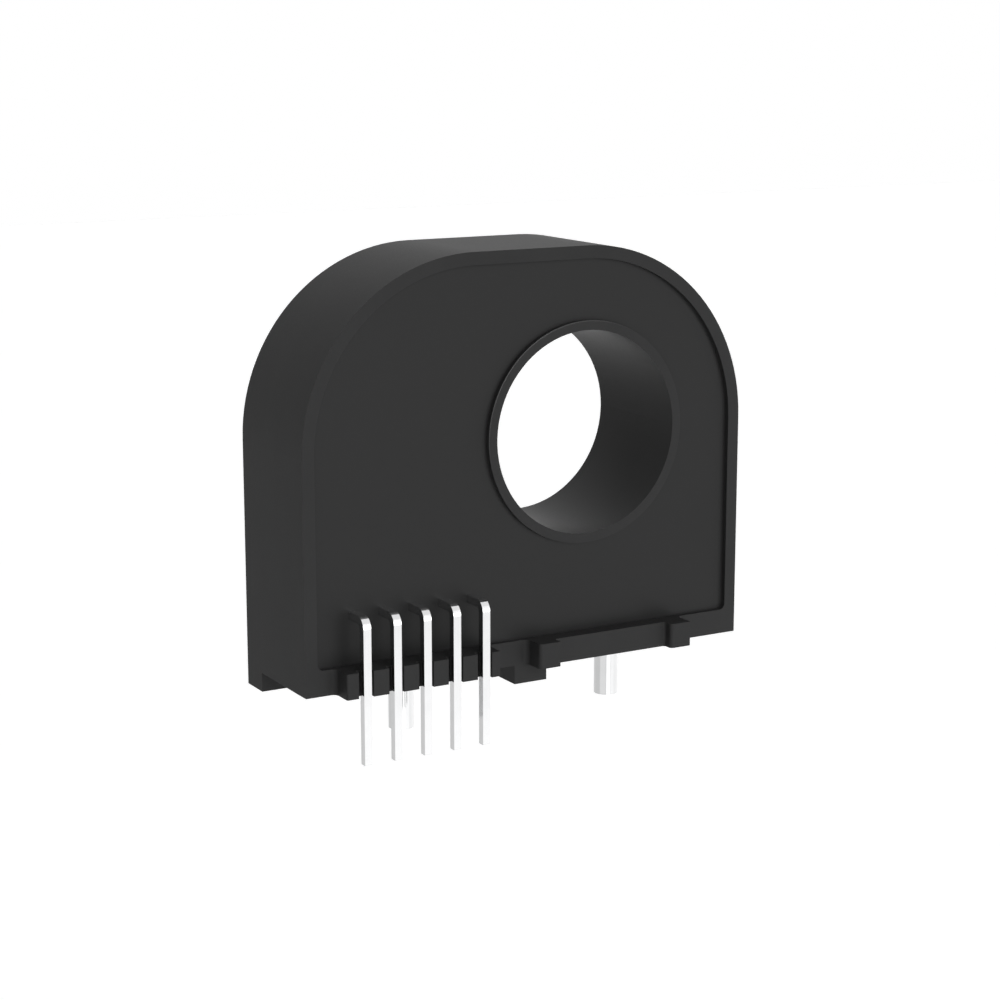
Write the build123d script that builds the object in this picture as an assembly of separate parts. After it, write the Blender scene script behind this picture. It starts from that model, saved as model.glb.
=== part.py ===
"""Ring-type open-loop hall current sensor for board mounting, in millimetres.

The origin is on the axis of the round aperture, halfway through the body. +X runs to the right seen
from the potted front, +Y runs from the front to the closed back, and +Z is up, away from the board.
"""
import os
from math import atan, degrees

from build123d import *

# Case: one black moulding, arched, closed at the back and open at the front
case_width = 39.0
case_height = 32.6
case_depth = 10.7
corner_radius = 14.5          # both top corners
side_wall = 1.0               # left, right and top
back_wall = 1.0
floor_wall = 2.0
cavity_corner = 0.5           # lower corners of the cavity
aperture_diameter = 16.1
aperture_drop = 0.1           # aperture axis, below the centre of the top right corner
tube_wall = 0.75              # wall of the tube round the aperture
fill_recess = 0.4             # the potting lies this far below the rim

# Feet, so that the board is only touched at three places
foot_height = 1.5
foot_width = 2.9
foot_depth = 2.7
front_foot_offset = 18.0      # from the left side to the front foot

# Terminals: square wire, bent down in front of the case
terminal_count = 5
terminal_pitch = 2.54
terminal_side = 0.64
first_terminal = 4.1          # from the left side to the centre of the first terminal
terminal_height = 5.9         # from the underside of the case to the centre of the upper run
terminal_bend = 0.63          # bend radius on the centre line
terminal_proud = 0.25         # front of the terminals, in front of the comb
pin_reach = 3.75              # terminals and mounting pins, below the feet

# Comb that guides the terminals, and the stop blocks and bar beside it
comb_reach = 1.9              # in front of the rim
comb_end = 1.35               # material beyond the centre of the last terminal
comb_start = 1.6              # material before the centre of the first terminal
slot_width = 1.25
slot_depth = 0.65
block_width = 1.85
left_block_offset = 19.2      # from the left side to the left stop block
block_spacing = 12.25         # from the left stop block to the right one
bar_reach = 1.0
root_fillet = 0.45            # where the comb and the blocks meet the rim
bar_fillet = 0.25             # where the blocks meet the bar
block_round = 0.3             # front left edge of each block
comb_round = 0.15             # front left edge of the comb

# Mounting pins: round, with a shoulder under the floor and a headed shank through it
mounting_pin_diameter = 2.0
pin_shank_diameter = 1.5
mounting_pin_offset = 10.7    # from the left side to the left pin
mounting_pin_spacing = 19.2
pin_head_diameter = 3.0
pin_head_height = 0.8

# Magnetic core: a ring with one gap, seated on the back wall
core_clearance = 1.0          # between the tube and the core
core_margin = 0.55            # between the core and the case walls
core_cover = 1.5              # between the board and the core, for the chips
core_gap = 1.7

# Hall element in the gap, its face across the field
element_width = 4.1
element_thickness = 1.5
element_length = 3.0
element_chamfer = 0.35
element_lead_count = 3
element_lead_pitch = 1.27
element_lead_width = 0.4
element_lead_thickness = 0.38
element_lead_end = 0.8        # past the front of the board

# Circuit board, standing behind the potted front
board_cover = 1.2             # potting in front of the board
board_thickness = 1.6
board_margin = 0.6            # to the cavity walls
board_tube_gap = 0.4          # to the tube
board_reach = 1.25            # past the left side of the tube
board_rise = 9.0              # above the aperture's axis
terminal_hole = 1.0
lead_hole = 0.7
terminal_end = 1.0            # terminal past the back of the board
post_diameter = 2.5           # posts of the case that carry the board
post_shares = ((0.12, 0.34), (0.17, 0.82))

# Chips on the back of the board. Their places, like the posts', are shares of its width and height
chip_gap = 0.1                # under each chip
chip_lead_width = 0.4
chip_lead_thickness = 0.2
amplifier_shares = (0.35, 0.51)
amplifier_body = (3.9, 4.9, 1.35)
amplifier_span = 6.0
amplifier_lead_pitch = 1.27
reference_shares = (0.38, 0.74)
reference_body = (1.3, 2.9, 0.95)
reference_span = 2.4
reference_lead_pitch = 1.9

# Chip resistors and capacitors: length, width, height
resistor_size = (2.0, 1.25, 0.5)
capacitor_size = (2.0, 1.25, 0.85)
end_cap = 0.4
end_cap_proud = 0.05
resistor_shares = ((0.30, 0.27), (0.47, 0.27), (0.64, 0.27), (0.81, 0.27))
capacitor_shares = ((0.70, 0.92), (0.86, 0.92), (0.12, 0.66))

# Solder
solder_spread = 0.2           # pad of a joint, past its hole
solder_height = 0.6

# Places that follow from the sizes above
aperture_radius = aperture_diameter / 2
tube_radius = aperture_radius + tube_wall
x_right = corner_radius
x_left = x_right - case_width
z_top = corner_radius + aperture_drop
z_bottom = z_top - case_height
z_seat = z_bottom - foot_height
z_tip = z_seat - pin_reach
y_front = -case_depth / 2
y_back = case_depth / 2
y_cavity = y_back - back_wall
y_fill = y_front + fill_recess
y_comb = y_front - comb_reach
y_board = y_fill + board_cover
y_board_back = y_board + board_thickness
z_floor = z_bottom + floor_wall

core_inner = tube_radius + core_clearance
core_outer = corner_radius - side_wall - core_margin
core_middle = (core_inner + core_outer) / 2
y_core = y_board_back + core_cover
y_element = (y_core + y_cavity - element_length) / 2

board_left = x_left + side_wall + board_margin
board_right = board_reach - tube_radius
board_bottom = z_floor + board_margin
board_top = board_rise

terminal_places = [x_left + first_terminal + i * terminal_pitch for i in range(terminal_count)]
z_terminal = z_bottom + terminal_height
y_terminal = y_comb - terminal_proud + terminal_side / 2
lead_places = [
    -core_middle + (i - (element_lead_count - 1) / 2) * element_lead_pitch
    for i in range(element_lead_count)
]
mounting_pin_places = {
    "mounting_pin_left": x_left + mounting_pin_offset,
    "mounting_pin_right": x_left + mounting_pin_offset + mounting_pin_spacing,
}


def slab(outline, y_from, y_to):
    """Extrude an outline drawn in X and Z from one depth to another."""
    return extrude(Plane.XZ.offset(-y_to) * outline, amount=y_to - y_from)


def plate(outline, z_from, z_to):
    """Extrude an outline drawn in X and Y from one height to another."""
    return extrude(Plane.XY.offset(z_from) * outline, amount=z_to - z_from)


def block(x_from, x_to, y_from, y_to):
    """A rectangle in plan between two X and two Y values."""
    return Pos((x_from + x_to) / 2, (y_from + y_to) / 2) * Rectangle(x_to - x_from, y_to - y_from)


def arch(inset, floor, corner):
    """The case outline, inset at the sides and top and raised at the floor."""
    sheet = block(x_left + inset, x_right - inset, z_bottom + floor, z_top - inset)
    sheet = fillet(sheet.vertices().group_by(Axis.Y)[-1], corner_radius - inset)
    if corner > 0:
        sheet = fillet(sheet.vertices().group_by(Axis.Y)[0], corner)
    return sheet


def on_board(shares):
    """X and Z of a place that is given as shares of the board's width and height."""
    across, upward = shares
    x = board_left + across * (board_right - board_left)
    return x, board_bottom + upward * (board_top - board_bottom)


def corner_at(sheet, x, y):
    """The vertex of a flat outline nearest to a point."""
    return sheet.vertices().sort_by_distance((x, y, 0))[0]


def front_lip():
    """Plan of the comb, the stop blocks and the bar, with the strip of floor that they grow from."""
    comb_left = terminal_places[0] - comb_start
    comb_right = terminal_places[-1] + comb_end
    block_left = x_left + left_block_offset
    block_right = block_left + block_spacing
    blocks = (block_left, block_right)
    y_bar = y_front - bar_reach

    plan = block(x_left, x_right, y_front, y_front + side_wall)
    plan += block(comb_left, comb_right, y_comb, y_front)
    plan += block(block_left, block_right + block_width, y_bar, y_front)
    for start in blocks:
        plan += block(start, start + block_width, y_comb, y_front)

    for x in (comb_left, comb_right, block_left, block_right + block_width):
        plan = fillet(corner_at(plan, x, y_front), root_fillet)
    for x in (block_left + block_width, block_right):
        plan = fillet(corner_at(plan, x, y_bar), bar_fillet)
    plan = fillet(corner_at(plan, comb_left, y_comb), comb_round)
    for x in blocks:
        plan = fillet(corner_at(plan, x, y_comb), block_round)

    for x in terminal_places:
        plan -= block(x - slot_width / 2, x + slot_width / 2, y_comb, y_comb + slot_depth)
    return plan


def feet():
    """Plan of the three feet: two at the back corners and one at the front."""
    y_start = y_back - foot_depth
    plan = block(x_left, x_left + foot_width, y_start, y_back)
    plan += block(x_right - foot_width, x_right, y_start, y_back)
    front = x_left + front_foot_offset
    return plan + block(front, front + foot_width, y_front, y_front + foot_depth)


def board_posts():
    """The posts on the back wall that carry the board."""
    posts = Sketch()
    for shares in post_shares:
        posts += Pos(*on_board(shares)) * Circle(post_diameter / 2)
    return slab(posts, y_board_back, y_cavity)


def cavity(y_from):
    """The inside of the case behind one depth, round the aperture tube and the board posts."""
    space = slab(arch(side_wall, floor_wall, cavity_corner), y_from, y_cavity)
    return space - slab(Circle(tube_radius), y_from, y_cavity) - board_posts()


def case():
    """The moulding: shell, tube, board posts, comb, blocks, bar and feet."""
    body = slab(arch(0, 0, 0), y_front, y_back) - cavity(y_front)
    body += plate(front_lip(), z_bottom, z_floor)
    body += plate(feet(), z_seat, z_bottom)
    body -= slab(Circle(aperture_radius), y_front, y_back)
    for x in mounting_pin_places.values():
        body -= plate(Pos(x, 0) * Circle(pin_shank_diameter / 2), z_bottom, z_floor)
    return body


def terminal(x):
    """A square wire from behind the board, forward and then down past the feet."""
    run = FilletPolyline(
        (x, y_board_back + terminal_end, z_terminal),
        (x, y_terminal, z_terminal),
        (x, y_terminal, z_tip),
        radius=terminal_bend,
    )
    return sweep(Plane(run @ 0, z_dir=run % 0) * Rectangle(terminal_side, terminal_side), path=run)


def mounting_pin(x):
    """A round pin whose shoulder and head hold the floor between them."""
    pin = mounting_pin_diameter / 2
    shank = pin_shank_diameter / 2
    head = pin_head_diameter / 2
    half = Polyline(
        (0, z_tip),
        (pin, z_tip),
        (pin, z_bottom),
        (shank, z_bottom),
        (shank, z_floor),
        (head, z_floor),
        (head, z_floor + pin_head_height),
        (0, z_floor + pin_head_height),
        close=True,
    )
    return Pos(x, 0, 0) * revolve(Plane.XZ * make_face(half), Axis.Z)


def magnetic_core():
    """The ring, open at one gap on the terminals' side."""
    ring = slab(Circle(core_outer) - Circle(core_inner), y_core, y_cavity)
    gap = block(-core_outer, 0, -core_gap / 2, core_gap / 2)
    return ring - slab(gap, y_core, y_cavity)


def hall_element():
    """The moulded element, chamfered on its marked side."""
    outline = Pos(-core_middle, 0) * Rectangle(element_width, element_thickness)
    outline = chamfer(outline.vertices().group_by(Axis.Y)[-1], element_chamfer)
    return slab(outline, y_element, y_element + element_length)


def hall_leads():
    """The element's leads, from its body through the board."""
    leads = Sketch()
    for x in lead_places:
        leads += Pos(x, 0) * Rectangle(element_lead_width, element_lead_thickness)
    return slab(leads, y_board - element_lead_end, y_element)


def circuit_board():
    """The board, cut to the case outline and round the tube, with its holes."""
    outline = arch(side_wall + board_margin, floor_wall + board_margin, cavity_corner)
    outline &= block(board_left, board_right, board_bottom, board_top)
    outline -= Circle(tube_radius + board_tube_gap)
    for x in terminal_places:
        outline -= Pos(x, z_terminal) * Circle(terminal_hole / 2)
    for x in lead_places:
        outline -= Pos(x, 0) * Circle(lead_hole / 2)
    return slab(outline, y_board, y_board_back)


def chip_body(shares, size):
    """A moulded chip body on the back of the board."""
    width, length, height = size
    y = y_board_back + chip_gap
    return slab(Pos(*on_board(shares)) * Rectangle(width, length), y, y + height)


def chip_lead(shares, size, span, side, rise):
    """One bent lead, from the side of a chip body down to the board. Side is -1 or 1."""
    root = size[0] / 2
    toe = span / 2
    knee = root + (toe - root) * 0.4
    low = y_board_back
    high = y_board_back + chip_gap + size[2] / 2
    profile = Polyline(
        (root, high),
        (knee, high),
        (knee, low + chip_lead_thickness),
        (toe, low + chip_lead_thickness),
        (toe, low),
        (knee - chip_lead_thickness, low),
        (knee - chip_lead_thickness, high - chip_lead_thickness),
        (root, high - chip_lead_thickness),
        close=True,
    )
    lead = make_face(profile)
    if side < 0:
        lead = mirror(lead, Plane.YZ)
    x, z = on_board(shares)
    z += rise
    return plate(Pos(x, 0) * lead, z - chip_lead_width / 2, z + chip_lead_width / 2)


def amplifier_leads():
    """Four leads on each side of the amplifier."""
    leads = Part()
    for i in range(4):
        rise = (i - 1.5) * amplifier_lead_pitch
        for side in (-1, 1):
            leads += chip_lead(amplifier_shares, amplifier_body, amplifier_span, side, rise)
    return leads


def reference_leads():
    """Two leads on one side of the voltage reference and one on the other."""
    half = reference_lead_pitch / 2
    leads = Part()
    for side, rise in ((-1, -half), (-1, half), (1, 0)):
        leads += chip_lead(reference_shares, reference_body, reference_span, side, rise)
    return leads


def chip_component(shares, size):
    """A chip resistor or capacitor: a ceramic block between two end caps."""
    length, width, height = size
    x, z = on_board(shares)
    body = slab(Rectangle(width, length), y_board_back, y_board_back + height)
    cap = slab(
        Rectangle(width + 2 * end_cap_proud, end_cap), y_board_back, y_board_back + height + end_cap_proud
    )
    shift = (length - end_cap) / 2
    return Pos(x, 0, z) * (body + Pos(0, 0, shift) * cap + Pos(0, 0, -shift) * cap)


def solder_joint(x, z, hole, y_side):
    """Solder that fills a board hole and tapers from a square pad, on the front (-1) or back (1)."""
    fill = slab(Pos(x, z) * Circle(hole / 2), y_board, y_board_back)
    pad = hole + 2 * solder_spread
    face = Plane((x, y_board_back if y_side > 0 else y_board, z), x_dir=(1, 0, 0), z_dir=(0, y_side, 0))
    taper = degrees(atan(solder_spread / solder_height))
    return fill + extrude(face * Rectangle(pad, pad), amount=solder_height, taper=taper)


def solder_joints(wires):
    """The joints of the terminals and the hall leads, round their wires."""
    joints = Part()
    for x in terminal_places:
        joints += solder_joint(x, z_terminal, terminal_hole, 1)
    for x in lead_places:
        joints += solder_joint(x, 0, lead_hole, -1)
    return joints - wires


def build():
    """Make every piece, the potting last because it fills what is left."""
    pieces = {
        "case": case(),
        "magnetic_core": magnetic_core(),
        "hall_element": hall_element(),
        "hall_leads": hall_leads(),
        "circuit_board": circuit_board(),
        "amplifier": chip_body(amplifier_shares, amplifier_body),
        "amplifier_leads": amplifier_leads(),
        "voltage_reference": chip_body(reference_shares, reference_body),
        "reference_leads": reference_leads(),
    }
    for number, x in enumerate(terminal_places, 1):
        pieces[f"terminal_{number}"] = terminal(x)
    for name, x in mounting_pin_places.items():
        pieces[name] = mounting_pin(x)
    for number, shares in enumerate(resistor_shares, 1):
        pieces[f"resistor_{number}"] = chip_component(shares, resistor_size)
    for number, shares in enumerate(capacitor_shares, 1):
        pieces[f"capacitor_{number}"] = chip_component(shares, capacitor_size)

    wires = [piece for name, piece in pieces.items() if name.startswith("terminal_")]
    pieces["solder_joints"] = solder_joints(wires + [pieces["hall_leads"]])

    sealed = [piece for name, piece in pieces.items() if name != "case"]
    pieces["potting_fill"] = cavity(y_fill) - sealed
    return pieces


os.makedirs("parts", exist_ok=True)
for name, piece in build().items():
    export_step(piece, f"parts/{name}.step")
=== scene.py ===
"""Looks of the board-mounted ring current sensor: materials, studio and the photograph's view.

Lengths are in metres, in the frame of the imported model, unless a name ends in _mm.
Angles are in degrees. Azimuth 0 is in front of the object, and 90 is at its left.
"""

from math import pi, radians

import bpy
from mathutils import Euler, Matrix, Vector

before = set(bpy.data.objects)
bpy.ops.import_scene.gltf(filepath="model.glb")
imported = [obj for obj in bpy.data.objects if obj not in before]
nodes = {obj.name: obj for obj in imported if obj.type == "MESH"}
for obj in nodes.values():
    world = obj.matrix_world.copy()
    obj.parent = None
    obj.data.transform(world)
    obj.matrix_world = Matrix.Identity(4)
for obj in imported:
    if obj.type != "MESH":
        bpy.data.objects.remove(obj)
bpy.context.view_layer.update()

# Camera: the photograph's view
camera_aim_mm = (-7.569, -4.906, -4.678)
camera_azimuth = 29.874
camera_elevation = 11.950
camera_distance_mm = 176.206
camera_lens = 82.274
camera_sensor = 36.0
camera_clip = (0.01, 10.0)

# Floor
floor_height = -0.12
floor_size = 3.0
floor_colour = (0.6, 0.6, 0.6)
floor_lift = 0.67              # brings the lit floor up to white where it is seen or mirrored

# Low softboxes beside the floor
strip_distance = 0.15          # from the aperture's axis
strip_elevation = -12
strip_height = 0.13
strip_aim_height = -0.025
tip_strip_azimuth = -32        # of the two strips that brighten the terminals' lower ends
tip_strip_size = (0.09, 0.05)

# Plastic
grain_gloss = 0.04             # how far the grain moves the roughness, up and down
bore_gloss = 0.03
# The painted highlight on the tube's outer edge: a glossy coat laid only where the edge faces up
# and to the left, the side where the light catches it.
edge_facing = (-0.6, 0, 0.8)   # up and to the left
edge_turn = (0.28, 0.6)        # turns of the normal at which it starts to shine, and shines fully
edge_roughness = 0.3
edge_ior = 1.8

# Tin
cloud_mm = 0.9
cloud_shade = 0.97             # the darkest part of the clouds, as a share of the colour
cloud_gloss = 0.1              # how far they move the roughness, as a share of it
drawn_depth_mm = 0.0006
# Painted light: the terminals' tin takes a brighter copy of its colour above a height, blended
# over this span.
painted_top_blend_mm = 0.3


class Shader:
    """A node material under construction, with its Principled shader."""

    def __init__(self, name):
        self.material = bpy.data.materials.new(name)
        self.material.use_nodes = True
        self.tree = self.material.node_tree
        self.tree.nodes.clear()
        output = self.tree.nodes.new("ShaderNodeOutputMaterial")
        self.principled = self.tree.nodes.new("ShaderNodeBsdfPrincipled")
        self.join(self.principled.outputs["BSDF"], output.inputs["Surface"])
        self.place = self.tree.nodes.new("ShaderNodeTexCoord").outputs["Object"]

    def join(self, source, target):
        """Link an output to an input."""
        self.tree.links.new(source, target)

    def node(self, kind, **values):
        """A node of a kind, with its inputs set by name."""
        made = self.tree.nodes.new(kind)
        for name, value in values.items():
            made.inputs[name].default_value = value
        return made

    def set(self, **values):
        """Set the shader's own sockets. An underscore in a name stands for a space."""
        for name, value in values.items():
            self.principled.inputs[name.replace("_", " ")].default_value = value

    def link(self, **sources):
        """Link what varies over the surface. An underscore in a name stands for a space."""
        for name, source in sources.items():
            self.join(source, self.principled.inputs[name.replace("_", " ")])

    def noise(self, scale_mm, detail, roughness=0.5):
        """Noise with features of a size in millimetres, or of three along X, Y and Z."""
        if not isinstance(scale_mm, tuple):
            scale_mm = (scale_mm,) * 3
        mapping = self.node("ShaderNodeMapping", Scale=[1000 / size for size in scale_mm])
        self.join(self.place, mapping.inputs["Vector"])
        made = self.node("ShaderNodeTexNoise", Scale=1.0, Detail=detail, Roughness=roughness)
        self.join(mapping.outputs["Vector"], made.inputs["Vector"])
        return made.outputs["Fac"]

    def ramp(self, source, low, high, low_at=0.3, high_at=0.7):
        """A colour or a value that runs from low to high as the source rises."""
        if isinstance(low, tuple):
            made = self.tree.nodes.new("ShaderNodeValToRGB")
            self.join(source, made.inputs["Fac"])
            start, end = made.color_ramp.elements
            start.position, end.position = low_at, high_at
            start.color, end.color = (*low, 1), (*high, 1)
            return made.outputs["Color"]
        made = self.tree.nodes.new("ShaderNodeMapRange")
        self.join(source, made.inputs["Value"])
        limits = {"From Min": low_at, "From Max": high_at, "To Min": low, "To Max": high}
        for name, value in limits.items():
            made.inputs[name].default_value = value
        return made.outputs["Result"]

    def bump(self, source, depth_mm):
        """Bump of the given depth in millimetres."""
        made = self.node("ShaderNodeBump", Strength=1.0, Distance=depth_mm / 1000)
        self.join(source, made.inputs["Height"])
        return made.outputs["Normal"]

    def math(self, operation, *values, kind="ShaderNodeMath"):
        """The result of a Math or Vector Math node. Each value is an output or a constant."""
        made = self.tree.nodes.new(kind)
        made.operation = operation
        for port, value in zip(made.inputs, values):
            if isinstance(value, bpy.types.NodeSocket):
                self.join(value, port)
            else:
                port.default_value = value
        return next(port for port in made.outputs if port.enabled)

    def vector_math(self, operation, *values):
        """The result of a Vector Math node."""
        return self.math(operation, *values, kind="ShaderNodeVectorMath")

    def choose(self, share, first, second):
        """The first colour or value where the share is 0, and the second where it is 1."""
        made = self.tree.nodes.new("ShaderNodeMix")
        made.data_type = "RGBA" if first.type == "RGBA" else "FLOAT"
        ports = [port for port in made.inputs if port.enabled]
        for source, target in zip((share, first, second), ports):
            self.join(source, target)
        return next(port for port in made.outputs if port.enabled)

    def within(self, radius_mm):
        """1 nearer to the axis of the aperture than the radius, and 0 farther out."""
        across = self.vector_math("MULTIPLY", self.place, (1, 0, 1))
        return self.math("LESS_THAN", self.vector_math("LENGTH", across), radius_mm / 1000)

    def above(self, height_mm, blend_mm):
        """0 below a height, 1 above it, with a blend between them."""
        split = self.tree.nodes.new("ShaderNodeSeparateXYZ")
        self.join(self.place, split.inputs[0])
        end_mm = height_mm + blend_mm
        return self.ramp(split.outputs["Z"], 0.0, 1.0, height_mm / 1000, end_mm / 1000)

    def rounded(self, radius_mm):
        """Normals that turn softly over the edges, as on edges of the given radius."""
        return self.node("ShaderNodeBevel", Radius=radius_mm / 1000).outputs["Normal"]

    def upper_left_highlight_mask(self, soft):
        """1 where the soft normals turn up and to the left at an edge, and 0 elsewhere: the mask
        of a painted highlight.
        """
        normal = self.tree.nodes.new("ShaderNodeNewGeometry").outputs["Normal"]
        turn = self.vector_math("SUBTRACT", soft, normal)
        return self.ramp(self.vector_math("DOT_PRODUCT", turn, edge_facing), 0.0, 1.0, *edge_turn)


def moulded_plastic(name, dark, pale, roughness, specular, grain_mm, grain_depth_mm, flow_mm,
                    bore=None, tube_edge_highlight=None):
    """Matte moulding: a fine eroded grain in its surface and gloss, with faint flow in its tone.

    A bore is a radius in millimetres and a roughness: its wall is smoother than the rest.
    A tube edge is two radii and a rounding in millimetres: between them, a glossy coat is laid on
    the upper left edges only. The coat truly reflects the lamps and the white background, but
    laying it on that side alone is a painted highlight.
    """
    shader = Shader(name)
    shader.set(Specular_IOR_Level=specular)
    grain = shader.noise(grain_mm, detail=3.0, roughness=0.6)
    flow = shader.noise(flow_mm, detail=3.0)
    gloss = shader.ramp(grain, roughness - grain_gloss, roughness + grain_gloss)
    if bore:
        radius, smooth = bore
        wall_gloss = shader.ramp(grain, smooth - bore_gloss, smooth + bore_gloss)
        gloss = shader.choose(shader.within(radius), gloss, wall_gloss)
    if tube_edge_highlight:
        inner, outer, rounding = tube_edge_highlight
        # Painted highlight: the coat goes only on the upper left of the tube's outer edge, where
        # the light catches it, and nowhere else on the edge.
        ring = shader.math("SUBTRACT", shader.within(outer), shader.within(inner))
        soft = shader.rounded(rounding)
        painted_highlight = shader.math("MULTIPLY", shader.upper_left_highlight_mask(soft), ring)
        shader.set(Coat_Roughness=edge_roughness, Coat_IOR=edge_ior)
        shader.link(Coat_Weight=painted_highlight, Coat_Normal=soft)
    shader.link(
        Base_Color=shader.ramp(flow, dark, pale),
        Roughness=gloss,
        Normal=shader.bump(grain, grain_depth_mm),
    )
    return shader.material


def tinned_metal(name, colour, roughness, drawn_mm, painted_bright_top=None):
    """Bright tin plate with faint clouds, and drawing lines of one size, or three along X, Y, Z.

    A painted bright top is a colour and a height in millimetres: the metal above it takes that
    colour. This is painted light: the same tin in a brighter copy above the height and a darker
    one below.
    """
    shader = Shader(name)
    shader.set(Metallic=1.0)
    lines = shader.noise(drawn_mm, detail=2.0)
    cloud = shader.noise(cloud_mm, detail=3.0)

    def clouded(full):
        return shader.ramp(cloud, tuple(part * cloud_shade for part in full), full)

    tone = clouded(colour)
    # Painted light: above the height, the same tin takes a brighter colour.
    if painted_bright_top:
        painted_bright_colour, height = painted_bright_top
        tone = shader.choose(shader.above(height, painted_top_blend_mm), tone, clouded(painted_bright_colour))
    shader.link(
        Base_Color=tone,
        Roughness=shader.ramp(cloud, roughness * (1 - cloud_gloss), roughness * (1 + cloud_gloss)),
        Normal=shader.bump(lines, drawn_depth_mm),
    )
    return shader.material


def dress(names, material):
    """Give CAD nodes a material."""
    for name in names:
        slots = nodes[name].data.materials
        slots.clear()
        slots.append(material)


def named(start):
    """The CAD nodes whose names start so."""
    return [name for name in nodes if name.startswith(start)]


dress(["case"], moulded_plastic(
    "case_black", (0.0268, 0.0268, 0.0270), (0.0290, 0.0290, 0.0292),
    roughness=0.5, specular=0.06, grain_mm=0.09, grain_depth_mm=0.002, flow_mm=(3.0, 3.0, 5.0),
    bore=(8.1, 0.39), tube_edge_highlight=(8.4, 9.0, 0.2)))
dress(["potting_fill"], moulded_plastic(
    "potting_black", (0.0122, 0.0122, 0.0123), (0.0128, 0.0128, 0.0129),
    roughness=0.42, specular=0.138, grain_mm=0.2, grain_depth_mm=0.001, flow_mm=6.0))
# The terminals are one tin, painted brighter above -12.5 mm and darker below: painted light, not
# two metals.
dress(named("terminal_"), tinned_metal(
    "terminal_tin", (0.54, 0.542, 0.545), roughness=0.12, drawn_mm=(0.06, 0.06, 3.0),
    painted_bright_top=((0.75, 0.75, 0.755), -12.5)))
dress(named("mounting_pin_"), tinned_metal(
    "pin_tin", (0.54, 0.542, 0.545), roughness=0.12, drawn_mm=(0.3, 0.3, 4.0)))
dress(["amplifier", "voltage_reference", "hall_element"], moulded_plastic(
    "chip_epoxy", (0.012, 0.012, 0.013), (0.018, 0.018, 0.019),
    roughness=0.6, specular=0.4, grain_mm=0.05, grain_depth_mm=0.003, flow_mm=1.5))
dress(["amplifier_leads", "reference_leads", "hall_leads"], tinned_metal(
    "lead_tin", (0.75, 0.75, 0.76), roughness=0.25, drawn_mm=0.05))
dress(["solder_joints"], tinned_metal(
    "solder_bright", (0.72, 0.72, 0.73), roughness=0.2, drawn_mm=0.3))
dress(["circuit_board"], moulded_plastic(
    "board_green", (0.012, 0.085, 0.03), (0.018, 0.11, 0.04),
    roughness=0.35, specular=0.5, grain_mm=0.35, grain_depth_mm=0.006, flow_mm=1.2))
dress(named("resistor_"), moulded_plastic(
    "resistor_glaze", (0.015, 0.015, 0.017), (0.03, 0.03, 0.034),
    roughness=0.3, specular=0.5, grain_mm=0.08, grain_depth_mm=0.002, flow_mm=0.5))
dress(named("capacitor_"), moulded_plastic(
    "capacitor_ceramic", (0.30, 0.20, 0.11), (0.36, 0.25, 0.15),
    roughness=0.5, specular=0.4, grain_mm=0.06, grain_depth_mm=0.002, flow_mm=0.5))
dress(["magnetic_core"], tinned_metal(
    "core_metal", (0.30, 0.30, 0.31), roughness=0.4, drawn_mm=(2.0, 0.05, 2.0)))


def direction(azimuth, elevation):
    """The unit vector towards a place round the object."""
    turn = Euler((-radians(elevation), 0, -radians(azimuth)))
    return turn.to_matrix() @ Vector((0, -1, 0))


def background_ray(tree):
    """1 for the rays that see the background: camera, glossy and transmission rays."""
    path = tree.nodes.new("ShaderNodeLightPath")
    total = path.outputs["Is Camera Ray"]
    for name in ("Is Glossy Ray", "Is Transmission Ray"):
        highest = tree.nodes.new("ShaderNodeMath")
        highest.operation = "MAXIMUM"
        tree.links.new(total, highest.inputs[0])
        tree.links.new(path.outputs[name], highest.inputs[1])
        total = highest.outputs[0]
    return total


def make_world():
    """White where it is seen or mirrored. It gives no other light, so the lamps do."""
    world = bpy.data.worlds.new("studio")
    world.use_nodes = True
    tree = world.node_tree
    tree.nodes.clear()
    output = tree.nodes.new("ShaderNodeOutputWorld")
    white = tree.nodes.new("ShaderNodeBackground")
    white.inputs["Color"].default_value = (1, 1, 1, 1)
    tree.links.new(background_ray(tree), white.inputs["Strength"])
    tree.links.new(white.outputs[0], output.inputs["Surface"])
    bpy.context.scene.world = world


def make_floor():
    """A plain white floor well below the pins, clear when seen from underneath."""
    material = bpy.data.materials.new("floor_white")
    material.use_nodes = True
    tree = material.node_tree
    tree.nodes.clear()
    output = tree.nodes.new("ShaderNodeOutputMaterial")
    paper = tree.nodes.new("ShaderNodeBsdfDiffuse")
    paper.inputs["Color"].default_value = (*floor_colour, 1)
    level = tree.nodes.new("ShaderNodeMath")
    level.operation = "MULTIPLY"
    level.inputs[1].default_value = floor_lift
    lift = tree.nodes.new("ShaderNodeEmission")
    both = tree.nodes.new("ShaderNodeAddShader")
    clear = tree.nodes.new("ShaderNodeBsdfTransparent")
    underneath = tree.nodes.new("ShaderNodeNewGeometry").outputs["Backfacing"]
    side = tree.nodes.new("ShaderNodeMixShader")
    tree.links.new(background_ray(tree), level.inputs[0])
    tree.links.new(level.outputs[0], lift.inputs["Strength"])
    tree.links.new(paper.outputs[0], both.inputs[0])
    tree.links.new(lift.outputs[0], both.inputs[1])
    tree.links.new(underneath, side.inputs["Fac"])
    tree.links.new(both.outputs[0], side.inputs[1])
    tree.links.new(clear.outputs[0], side.inputs[2])
    tree.links.new(side.outputs[0], output.inputs["Surface"])

    half = floor_size / 2
    mesh = bpy.data.meshes.new("floor")
    corners = [(x * half, y * half, floor_height) for x, y in ((-1, -1), (1, -1), (1, 1), (-1, 1))]
    mesh.from_pydata(corners, [], [(0, 1, 2, 3)])
    mesh.materials.append(material)
    floor = bpy.data.objects.new("floor", mesh)
    bpy.context.scene.collection.objects.link(floor)


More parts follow.
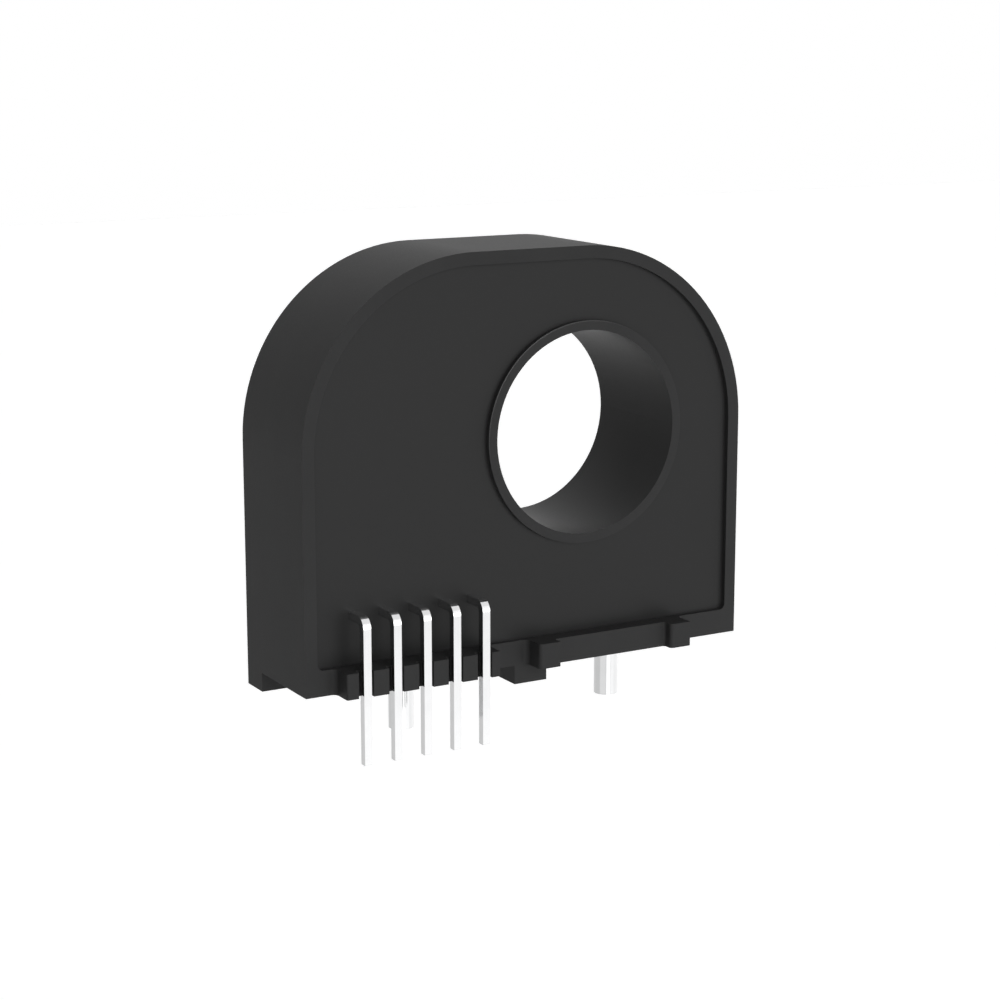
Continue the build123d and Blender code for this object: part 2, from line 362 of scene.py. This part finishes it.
def make_camera():
    """The photograph's view."""
    data = bpy.data.cameras.new("camera")
    data.sensor_width = camera_sensor
    data.lens = camera_lens
    data.clip_start, data.clip_end = camera_clip
    camera = bpy.data.objects.new("camera", data)
    back = direction(camera_azimuth, camera_elevation)
    camera.location = (Vector(camera_aim_mm) + back * camera_distance_mm) / 1000
    camera.rotation_mode = "QUATERNION"
    camera.rotation_quaternion = (-back).to_track_quat("-Z", "Y")
    bpy.context.scene.collection.objects.link(camera)
    bpy.context.scene.camera = camera


def make_lamp(name, kind, away):
    """A lamp of a kind that shines from the given direction."""
    lamp = bpy.data.objects.new(name, bpy.data.lights.new(name, kind))
    lamp.rotation_mode = "QUATERNION"
    lamp.rotation_quaternion = away.to_track_quat("Z", "Y")
    bpy.context.scene.collection.objects.link(lamp)
    return lamp


def soft_light(name, azimuth, elevation, spread, strength):
    """A wide distant lamp. The spread is its width in degrees."""
    lamp = make_lamp(name, "SUN", direction(azimuth, elevation))
    lamp.data.angle = radians(spread)
    lamp.data.energy = strength


def strip_light(name, azimuth, size, brightness, aim_height=strip_aim_height):
    """A low softbox for the metal to mirror, out of the camera's sight.

    Its brightness adds to that of the background behind it, where 1 is white.
    """
    width, height = size
    away = direction(azimuth, strip_elevation)
    lamp = make_lamp(name, "AREA", away)
    lamp.data.shape = "RECTANGLE"
    lamp.data.size, lamp.data.size_y = size
    lamp.data.energy = brightness * pi * width * height
    lamp.location = away * strip_distance + Vector((0, 0, aim_height))
    lamp.visible_camera = False


make_world()
make_floor()
make_camera()
soft_light("front", azimuth=0, elevation=10, spread=60, strength=2.52)
soft_light("front_right", azimuth=-45, elevation=10, spread=60, strength=0.3)
soft_light("back", azimuth=165, elevation=75, spread=40, strength=1.2)
strip_light("front_strip", 6, (0.105, strip_height), brightness=1.0)
strip_light("right_strip", -72, (0.40, strip_height), brightness=0.61)
strip_light("tip_strip", tip_strip_azimuth, tip_strip_size, brightness=0.11, aim_height=-0.051)
strip_light("low_tip_strip", tip_strip_azimuth, tip_strip_size, brightness=0.14, aim_height=-0.061)
strip_light("left_strip", 60, (0.16, strip_height), brightness=0.30)
bpy.context.scene.view_settings.view_transform = "Standard"
